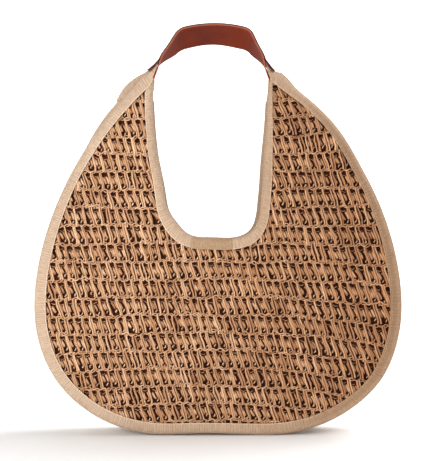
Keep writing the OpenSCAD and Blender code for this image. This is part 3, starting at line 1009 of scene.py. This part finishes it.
def strap_layer(name, line, faces, taper, materials, slot, node):
    """Sweeps a layer of the strap along its line and the line's mirror image. taper narrows its ends."""
    top, bottom = faces
    right, _ = resample(line, 1.2)
    path = np.vstack([right[:0:-1] * (-1, 1), right])
    normal = normals(path)
    section = strap_section(top, bottom)
    s = distances(path)
    from_end = np.minimum(s, s[-1] - s)
    narrow = 1 - taper * (1 - smooth(from_end / 14))
    depth = section[None, :, 1] - top
    x = path[:, None, 0] - normal[:, None, 0] * depth
    z = path[:, None, 1] - normal[:, None, 1] * depth
    y = section[None, :, 0] * narrow[:, None]
    points = flex(np.stack([x, np.broadcast_to(y, x.shape), z], -1))
    rows, columns = x.shape
    quads = grid_quads(rows, columns, closed=True)
    is_edge = np.abs(section[:, 0]) > STRAP_W / 2 - 0.55
    slots = np.tile(is_edge & np.roll(is_edge, -1), rows - 1)
    uv = np.stack([np.broadcast_to(s[:, None], x.shape), np.broadcast_to(section[None, :, 0], x.shape)], -1)
    caps = []
    for row, order in ((0, 1), (rows - 1, -1)):
        ring = row * columns + np.arange(columns)
        for i in range(columns // 2 - 1):
            quad = [ring[i], ring[i + 1], ring[columns - 2 - i], ring[columns - 1 - i]]
            caps.append(quad[::order])
    quads = np.vstack([quads, caps])
    slots = np.concatenate([slots, np.ones(len(caps), bool)])
    obj = make_mesh(name, points, quads, materials, uv, slots=slots)
    stand_for(obj, "both", slot, node)


def handle_stitches():
    """Thread along both edges, on the upper and the lower face of the strap."""
    parts = []
    pitch, half, seam_y = 4.4, 1.4, STRAP_W / 2 - 2.6
    t = np.linspace(-half, half, 6)
    for depth, lift in ((UPPER_LEATHER[0], 0.12), (LOWER_LEATHER[1], -0.12)):
        line, _ = resample(arch_line(depth, TAB_FROM - 3), 0.8)
        path = np.vstack([line[:0:-1] * (-1, 1), line])
        s = distances(path)
        where = np.arange(3, s[-1] - 3, pitch)[:, None] + t[None]
        px, pz = at(where, s, path)
        nx, nz = at(where, s, normals(path))
        for y in (-seam_y, seam_y):
            h = lift * (1.5 - 2.2 * (t / half) ** 2) - STRAP_FALL * (y / (STRAP_W / 2)) ** 2
            q = np.stack([px + nx * h, np.full_like(px, y), pz + nz * h], -1)
            centres = flex(q)
            outward = flex(q + np.stack([nx, 0 * nx, nz], -1)) - centres
            points, quads, uv = strands(centres, outward, 0.3, 0.26, sides=6)
            parts.append((points, quads, uv, np.zeros(len(points))))
    points, quads, uv, _ = gather(parts)
    obj = make_mesh("strap_thread", points, quads, [THREAD], uv)
    stand_for(obj, "both", "thread", "handle_thread")


def handle():
    """The strap's layers from the top down, and its sewing."""
    strap_layer("strap_outer", tab_line(UPPER_LEATHER[0]), UPPER_LEATHER, 0.03, [LEATHER, LEATHER],
                "strap_leather", "handle_outer")
    strap_layer("strap_core", arch_line(STIFFENER[0], CORE_LEG), STIFFENER, 0.0, [CORE, CORE],
                "stiffener", "handle_core")
    strap_layer("strap_inner", arch_line(LOWER_LEATHER[0], INNER_LEG), LOWER_LEATHER, 0.03, [UNDERSIDE, EDGE],
                "strap_underside", "handle_inner")
    handle_stitches()


# ---------------------------------------------------------------- the object

for panel_side, panel_label in ((-1, "front"), (1, "back")):
    crochet(panel_side, panel_label)
    tapes(panel_side, panel_label)
    lining = panel_sheet(f"{panel_label}_lining_cloth", panel_side, -LINING_IN, LINING_OUT - LINING_IN,
                         10.5, 1.6, LINING, "lining_cloth", f"{panel_label}_lining")
outer_strip = gusset_strip("gusset_cloth", GUSSET_IN, 1.0, True, GUSSET, "gusset_cloth", "gusset")
inner_strip = gusset_strip("gusset_lining_cloth", GUSSET_IN + 1.5, 0.8, False, LINING, "lining_cloth",
                           "gusset_lining")
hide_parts("left_horn_tip", "right_horn_tip")
pocket()
handle()
for node, metal in (("snap_stud", BRASS), ("snap_socket", BRASS), ("stud_washer", BRONZE),
                    ("socket_washer", BRONZE)):
    frame["nodes"][node].data.materials.clear()
    frame["nodes"][node].data.materials.append(metal)


# ---------------------------------------------------------------- studio

def studio():
    """A pale floor that turns up into a backdrop."""
    profile = [(-3.0, 0), (1.6, 0)] + [(1.6 + 1.2 * math.sin(a), 1.2 - 1.2 * math.cos(a))
                                       for a in np.linspace(0.1, math.pi / 2, 16)] + [(2.8, 4.0)]
    points = [(x, y, z) for y, z in profile for x in (-4.0, 4.0)]
    floor = make_mesh("studio_floor", np.array(points) / MM, grid_quads(len(profile), 2)[:, ::-1],
                      [floor_material()])


def area_light(name, place, target, size, power, colour=(1, 1, 1)):
    light = bpy.data.lights.new(name, "AREA")
    light.shape = "RECTANGLE"
    light.size, light.size_y = size
    light.energy = power
    light.color = colour
    obj = bpy.data.objects.new(name, light)
    obj.location = place
    obj.rotation_mode = "QUATERNION"
    obj.rotation_quaternion = (Vector(target) - Vector(place)).to_track_quat("-Z", "Y")
    bpy.context.scene.collection.objects.link(obj)


def lights():
    world = bpy.data.worlds.new("studio")
    world.use_nodes = True
    world.node_tree.nodes["Background"].inputs["Color"].default_value = (1, 0.995, 0.985, 1)
    world.node_tree.nodes["Background"].inputs["Strength"].default_value = 0.36
    bpy.context.scene.world = world
    area_light("front", (-1.0, -1.2, 0.6), (-0.05, 0, 0.2), (0.6, 0.6), 16)
    area_light("back", (0.8, 0.35, 1.2), (0, 0, 0.1), (1.3, 1.3), 26.5)
    area_light("low", (-0.1, -1.5, 0.12), (0, 0, 0.06), (1.2, 0.16), 6.8)


def camera():
    """The photograph's view: level, close to the middle of the bag and a little to its left."""
    data = bpy.data.cameras.new("camera")
    cam = bpy.data.objects.new("camera", data)
    bpy.context.scene.collection.objects.link(cam)
    place, target = Vector((-0.025, -1.25, 0.212)), Vector((0.0016, 0, 0.2209))
    cam.location = place
    cam.rotation_mode = "QUATERNION"
    cam.rotation_quaternion = (target - place).to_track_quat("-Z", "Y")
    data.sensor_width = 36
    # the view is 0.498 m wide at 1.222 m from the camera
    data.lens = data.sensor_width * 1.222 / 0.498
    data.clip_start, data.clip_end = 0.05, 20
    bpy.context.scene.camera = cam
    bpy.context.scene.view_settings.view_transform = "Standard"


studio()
lights()
camera()
